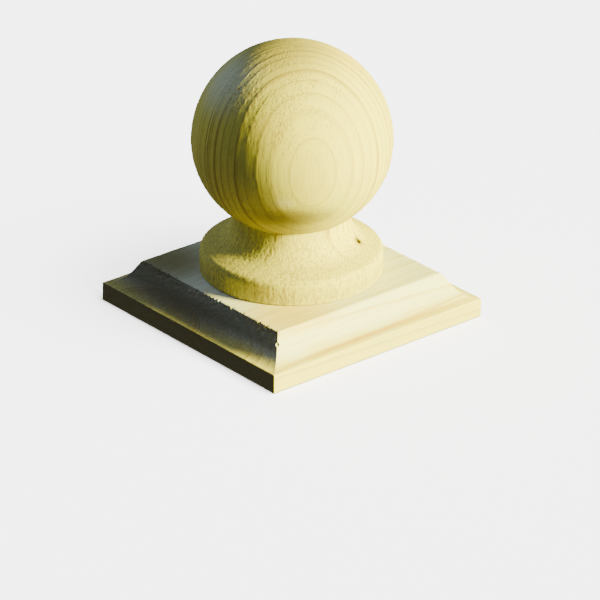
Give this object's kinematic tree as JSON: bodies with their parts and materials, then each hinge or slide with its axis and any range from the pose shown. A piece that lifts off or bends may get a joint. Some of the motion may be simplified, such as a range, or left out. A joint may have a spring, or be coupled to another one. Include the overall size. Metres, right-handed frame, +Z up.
{
  "type": "fence post cap",
  "caption": "Square moulded timber post cap with a turned ball and collar that unscrews from it on a hidden steel dowel screw.",
  "frame": {"origin": "centre of the board's underside, where it seats on the post's end", "axes": "+Z up along the post and the ball's axis, +X along the board's grain"},
  "size_m": [0.13, 0.13, 0.1374],
  "materials": {
    "board_timber": "rough-sawn and moulded softwood, pressure treated, yellow-green",
    "turned_timber": "turned softwood, pressure treated, yellow-green",
    "zinc_steel": "bright zinc plating"
  },
  "bodies": {
    "cap": {"cap_plate": "board_timber"},
    "screw": {"dowel_screw": "zinc_steel"},
    "finial": {"ball_finial": "turned_timber"}
  },
  "joints": [
    {"name": "finial_turn", "type": "hinge", "parent": "cap", "child": "screw", "pos_m": [0, 0, 0.0225], "axis": [0, 0, 1], "range_deg": [0, 3240]},
    {"name": "finial_rise", "type": "slide", "parent": "screw", "child": "finial", "axis": [0, 0, 1], "range_m": [0, 0.0271]}
  ],
  "couplings": [
    {"joint": "finial_rise", "follows": "finial_turn", "m_per_rad": 0.00047746}
  ]
}
